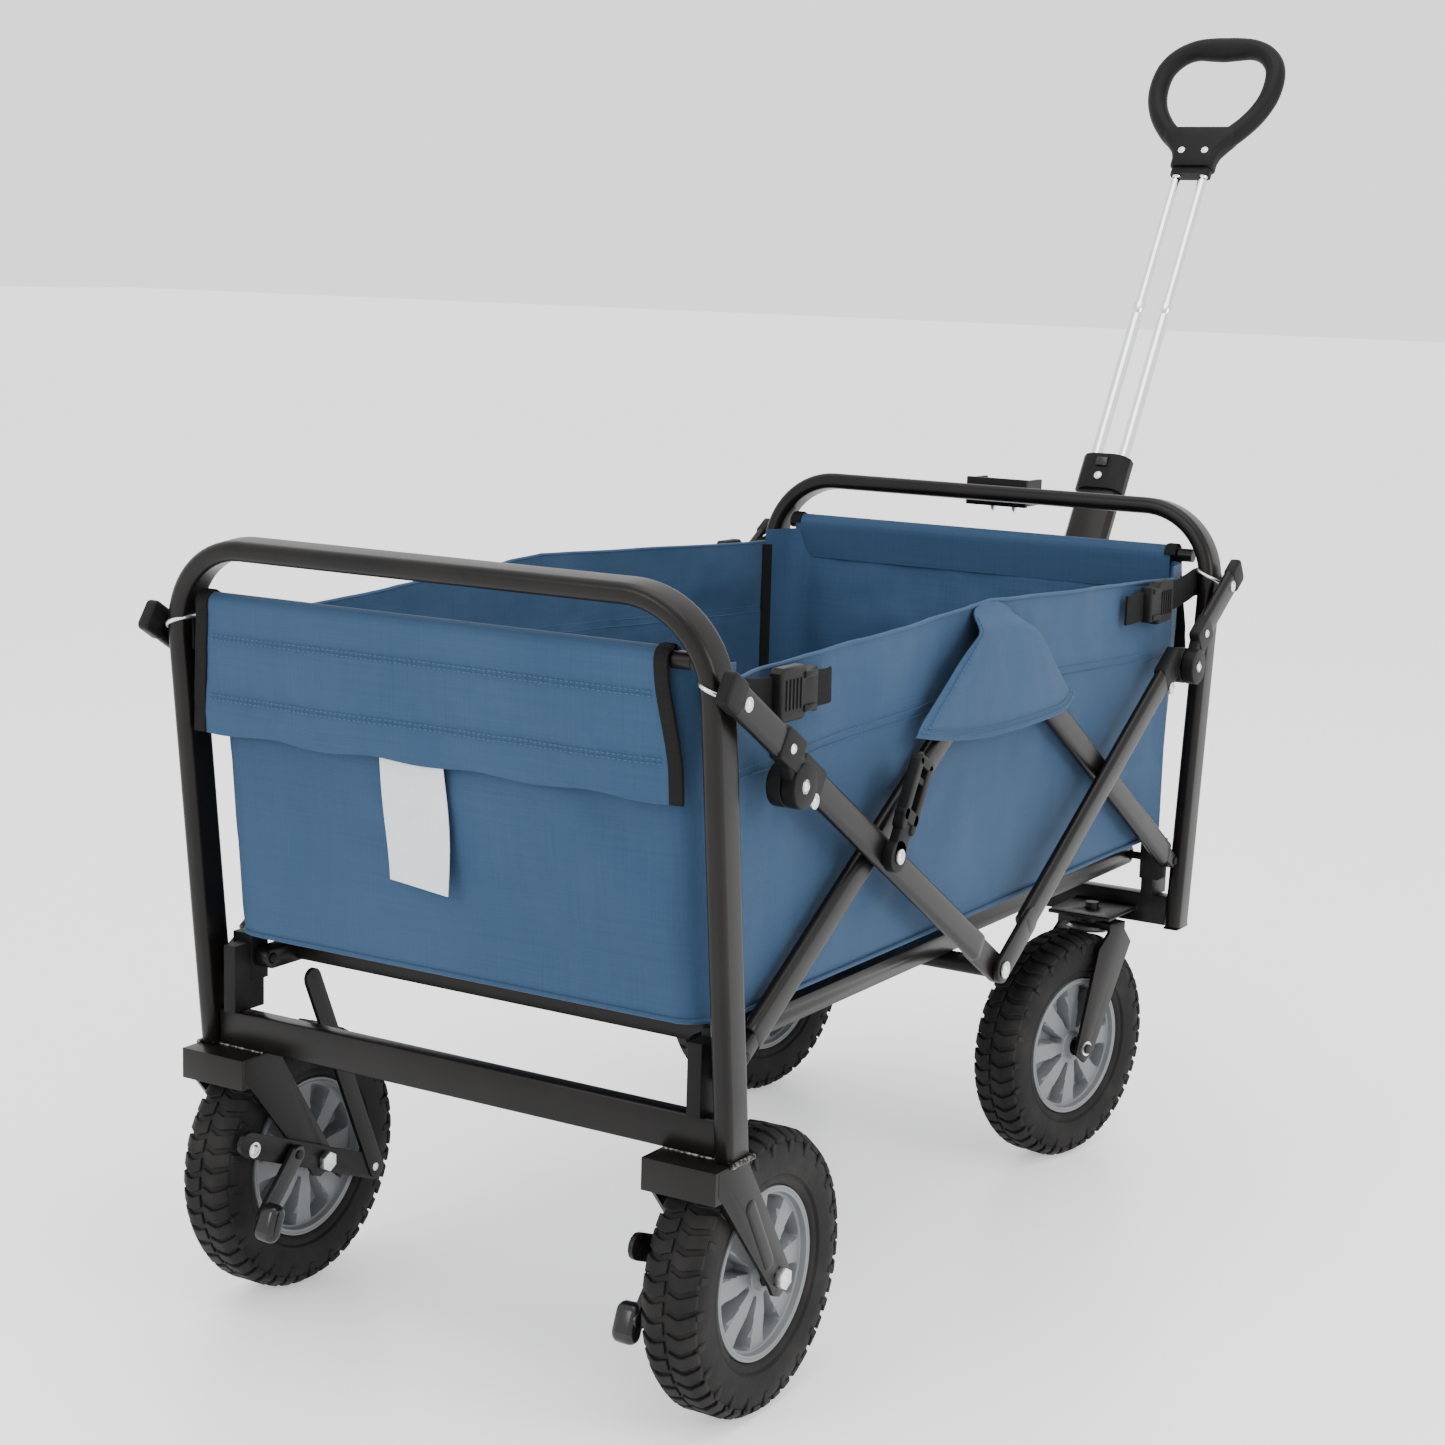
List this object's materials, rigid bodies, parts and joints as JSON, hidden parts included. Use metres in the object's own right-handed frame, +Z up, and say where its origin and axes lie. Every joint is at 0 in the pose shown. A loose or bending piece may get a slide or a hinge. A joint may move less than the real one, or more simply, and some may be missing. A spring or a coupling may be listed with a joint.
{
  "type": "folding utility wagon",
  "caption": "Folding utility wagon with scissor-arm sides, a woven fabric bag, swivel front wheels, brake pedals and a telescoping pull handle with a loop grip.",
  "frame": {"origin": "on the floor, under the middle of the whole object's box", "axes": "+X towards the wagon's left side, +Y towards its rear end, away from the handle, +Z up"},
  "size_m": [0.499, 1.4166, 1.038],
  "materials": {
    "frame_paint": "satin dark powder coat",
    "black_plastic": "fine-grained moulded black plastic",
    "grey_plastic": "moulded grey plastic",
    "tyre_rubber": "matt black rubber with chevron tread",
    "zinc_steel": "zinc plated",
    "chrome_tube": "bright chrome",
    "blue_fabric": "woven blue polyester with black binding"
  },
  "bodies": {
    "rear_frame": {"rear_hoop": "frame_paint", "rear_fabric_rod": "frame_paint", "rear_crossbar": "frame_paint", "rear_fork_right": "frame_paint", "rear_fork_left": "frame_paint", "rear_axle_right": "zinc_steel", "rear_axle_left": "zinc_steel", "brake_plate_right": "frame_paint", "brake_plate_left": "frame_paint", "rear_hinge_block_right": "black_plastic", "rear_hinge_block_left": "black_plastic", "bag_rear_wall": "blue_fabric", "bag_rear_side_right": "blue_fabric", "bag_rear_side_left": "blue_fabric"},
    "front_frame": {"front_hoop": "frame_paint", "front_fabric_rod": "frame_paint", "front_crossbar": "frame_paint", "front_hinge_block_right": "black_plastic", "front_hinge_block_left": "black_plastic", "handle_bracket": "frame_paint", "handle_clip": "black_plastic", "bag_front_wall": "blue_fabric", "bag_front_side_right": "blue_fabric", "bag_front_side_left": "blue_fabric"},
    "rear_long_arms": {"rear_long_arm_right": "frame_paint", "rear_long_arm_left": "frame_paint"},
    "front_long_arms": {"front_long_arm_right": "frame_paint", "front_long_arm_left": "frame_paint"},
    "rear_short_arms": {"rear_short_arm_right": "frame_paint", "rear_short_arm_left": "frame_paint"},
    "front_short_arms": {"front_short_arm_right": "frame_paint", "front_short_arm_left": "frame_paint"},
    "rear_links": {"rear_knee_link_right": "frame_paint", "rear_knee_link_left": "frame_paint"},
    "front_links": {"front_knee_link_right": "frame_paint", "front_knee_link_left": "frame_paint"},
    "centre_tube": {"centre_cross_tube": "frame_paint"},
    "rear_floor": {"rear_floor_frame": "frame_paint", "rear_floor_board": "blue_fabric"},
    "front_floor": {"front_floor_frame": "frame_paint", "front_floor_board": "blue_fabric"},
    "latch": {"fold_latch_lever": "black_plastic"},
    "rear_wheel_right": {"rear_wheel_right_rim": "grey_plastic", "rear_wheel_right_tyre": "tyre_rubber"},
    "rear_wheel_left": {"rear_wheel_left_rim": "grey_plastic", "rear_wheel_left_tyre": "tyre_rubber"},
    "brake_pedal_right": {"brake_pedal_right": "black_plastic"},
    "brake_pedal_left": {"brake_pedal_left": "black_plastic"},
    "caster_right": {"caster_fork_right": "frame_paint"},
    "caster_left": {"caster_fork_left": "frame_paint"},
    "front_wheel_right": {"front_wheel_right_rim": "grey_plastic", "front_wheel_right_tyre": "tyre_rubber"},
    "front_wheel_left": {"front_wheel_left_rim": "grey_plastic", "front_wheel_left_tyre": "tyre_rubber"},
    "handle": {"handle_base_tube": "black_plastic", "handle_cap": "black_plastic"},
    "handle_lower": {"handle_lower_tubes": "chrome_tube"},
    "handle_upper": {"handle_upper_tubes": "chrome_tube", "handle_grip": "black_plastic"},
    "release_button": {"handle_release_button": "grey_plastic"}
  },
  "joints": [
    {"name": "fold", "type": "hinge", "parent": "rear_frame", "child": "rear_long_arms", "pos_m": [0, 0.6318, 0.268], "axis": [-1, 0, 0], "range_deg": [0, 36], "deforming": ["bag_rear_side_right", "bag_rear_side_left", "bag_front_side_right", "bag_front_side_left"]},
    {"name": "top_centre_pivot", "type": "hinge", "parent": "rear_long_arms", "child": "front_long_arms", "pos_m": [0, 0.2608, 0.50435], "axis": [1, 0, 0], "range_deg": [0, 72]},
    {"name": "front_frame_pivot", "type": "hinge", "parent": "front_long_arms", "child": "front_frame", "pos_m": [0, -0.1102, 0.268], "axis": [-1, 0, 0], "range_deg": [0, 36]},
    {"name": "rear_crossing_pivot", "type": "hinge", "parent": "rear_long_arms", "child": "rear_short_arms", "pos_m": [0, 0.4608, 0.37694], "axis": [1, 0, 0], "range_deg": [0, 72]},
    {"name": "front_crossing_pivot", "type": "hinge", "parent": "front_long_arms", "child": "front_short_arms", "pos_m": [0, 0.0608, 0.37694], "axis": [-1, 0, 0], "range_deg": [0, 72]},
    {"name": "centre_tube_pivot", "type": "hinge", "parent": "rear_short_arms", "child": "centre_tube", "pos_m": [0, 0.2608, 0.24952], "axis": [-1, 0, 0], "range_deg": [0, 36]},
    {"name": "rear_link_pivot", "type": "hinge", "parent": "rear_frame", "child": "rear_links", "pos_m": [0, 0.6778, 0.5142], "axis": [-1, 0, 0], "range_deg": [0, 102]},
    {"name": "front_link_pivot", "type": "hinge", "parent": "front_frame", "child": "front_links", "pos_m": [0, -0.1562, 0.5142], "axis": [1, 0, 0], "range_deg": [0, 102]},
    {"name": "rear_floor_pivot", "type": "hinge", "parent": "rear_frame", "child": "rear_floor", "pos_m": [0, 0.6318, 0.268], "axis": [-1, 0, 0], "range_deg": [0, 64.4]},
    {"name": "front_floor_pivot", "type": "hinge", "parent": "front_frame", "child": "front_floor", "pos_m": [0, -0.1102, 0.268], "axis": [1, 0, 0], "range_deg": [0, 64.4]},
    {"name": "latch_pivot", "type": "hinge", "parent": "rear_long_arms", "child": "latch", "pos_m": [0, 0.4608, 0.37694], "axis": [1, 0, 0], "range_deg": [0, 35]},
    {"name": "rear_wheel_right_spin", "type": "hinge", "parent": "rear_frame", "child": "rear_wheel_right", "pos_m": [-0.2045, 0.5888, 0.1015], "axis": [1, 0, 0], "continuous": true},
    {"name": "brake_pedal_right_pivot", "type": "hinge", "parent": "rear_frame", "child": "brake_pedal_right", "pos_m": [-0.167, 0.6268, 0.118], "axis": [-1, 0, 0], "range_deg": [0, 25]},
    {"name": "caster_right_swivel", "type": "hinge", "parent": "front_frame", "child": "caster_right", "pos_m": [-0.16, -0.0862, 0.2105], "axis": [0, 0, 1], "continuous": true},
    {"name": "front_wheel_right_spin", "type": "hinge", "parent": "caster_right", "child": "front_wheel_right", "pos_m": [-0.15168, -0.04707, 0.1015], "axis": [0.9781, -0.2079, 0], "continuous": true},
    {"name": "rear_wheel_left_spin", "type": "hinge", "parent": "rear_frame", "child": "rear_wheel_left", "pos_m": [0.2045, 0.5888, 0.1015], "axis": [1, 0, 0], "continuous": true},
    {"name": "brake_pedal_left_pivot", "type": "hinge", "parent": "rear_frame", "child": "brake_pedal_left", "pos_m": [0.167, 0.6268, 0.118], "axis": [-1, 0, 0], "range_deg": [0, 25]},
    {"name": "caster_left_swivel", "type": "hinge", "parent": "front_frame", "child": "caster_left", "pos_m": [0.16, -0.0862, 0.2105], "axis": [0, 0, 1], "continuous": true},
    {"name": "front_wheel_left_spin", "type": "hinge", "parent": "caster_left", "child": "front_wheel_left", "pos_m": [0.16832, -0.04707, 0.1015], "axis": [0.9781, -0.2079, 0], "continuous": true},
    {"name": "handle_tilt", "type": "hinge", "parent": "front_frame", "child": "handle", "pos_m": [0, -0.2172, 0.225], "axis": [1, 0, 0], "range_deg": [-29, 55]},
    {"name": "handle_lower_slide", "type": "slide", "parent": "handle", "child": "handle_lower", "axis": [0, -0.5135, 0.8581], "range_m": [-0.16, 0]},
    {"name": "handle_upper_slide", "type": "slide", "parent": "handle_lower", "child": "handle_upper", "axis": [0, -0.5135, 0.8581], "range_m": [-0.15, 0]},
    {"name": "release_button_press", "type": "slide", "parent": "handle", "child": "release_button", "axis": [0, -0.8581, -0.5135], "range_m": [0, 0.0015], "stiffness_N_per_m": 600, "springref_m": -0.0008}
  ],
  "couplings": [
    {"joint": "top_centre_pivot", "follows": "fold", "ratio": 2},
    {"joint": "front_frame_pivot", "follows": "fold", "ratio": 1},
    {"joint": "rear_crossing_pivot", "follows": "fold", "ratio": 2},
    {"joint": "front_crossing_pivot", "follows": "fold", "ratio": 2},
    {"joint": "centre_tube_pivot", "follows": "fold", "ratio": 1},
    {"joint": "rear_link_pivot", "follows": "fold", "ratio": 2.8302},
    {"joint": "front_link_pivot", "follows": "fold", "ratio": 2.8302},
    {"joint": "rear_floor_pivot", "follows": "fold", "ratio": 1.7845},
    {"joint": "front_floor_pivot", "follows": "fold", "ratio": 1.7845}
  ]
}
